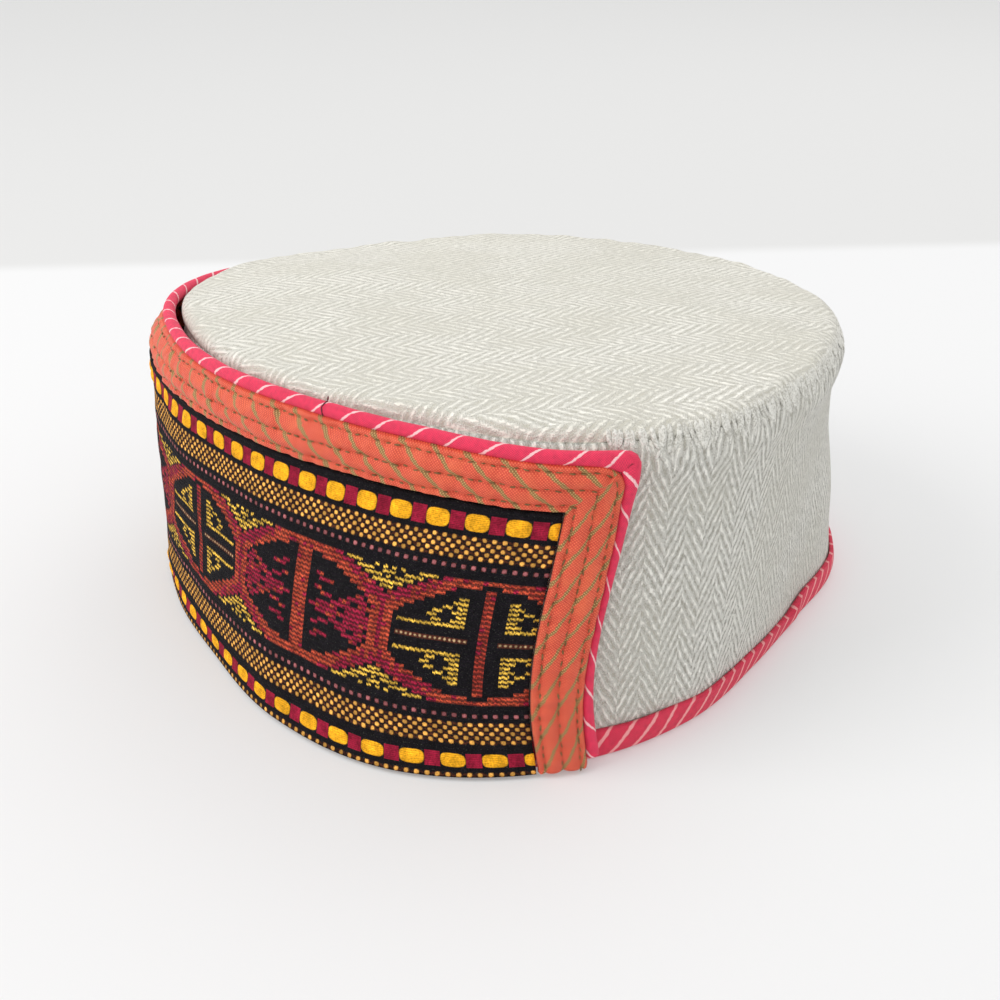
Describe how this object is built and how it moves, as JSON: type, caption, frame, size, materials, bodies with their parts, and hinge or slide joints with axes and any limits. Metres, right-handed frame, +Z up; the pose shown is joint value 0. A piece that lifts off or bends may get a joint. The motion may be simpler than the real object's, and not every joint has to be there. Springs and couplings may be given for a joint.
{
  "type": "pillbox cap",
  "caption": "Round, flat-topped tweed cap with a bordered woven flap sewn round its front half and a bound hem.",
  "frame": {"origin": "middle of the cap's box, on the surface that its hem stands on", "axes": "+Z up through the crown, -Y to the front of the cap, where the middle of the flap is, +X to the wearer's left"},
  "size_m": [0.2013, 0.1959, 0.0811],
  "materials": {
    "crown_tweed": "off-white herringbone wool tweed",
    "wall_tweed": "grey-beige herringbone wool tweed",
    "crimson_binding": "crimson cotton with thin pale stripes, cut on the bias",
    "woven_band": "hand-woven wool, black ground with gold, maroon and terracotta figures",
    "orange_taffeta": "coral-orange shot taffeta with olive stripes, stitched in rows",
    "crimson_piping": "pink-crimson cotton piping with thin pale stripes"
  },
  "bodies": {
    "root": {"crown_top": "crown_tweed", "side_wall": "wall_tweed", "hem_binding": "crimson_binding", "woven_band": "woven_band", "flap_border": "orange_taffeta", "flap_piping": "crimson_piping"}
  },
  "joints": []
}
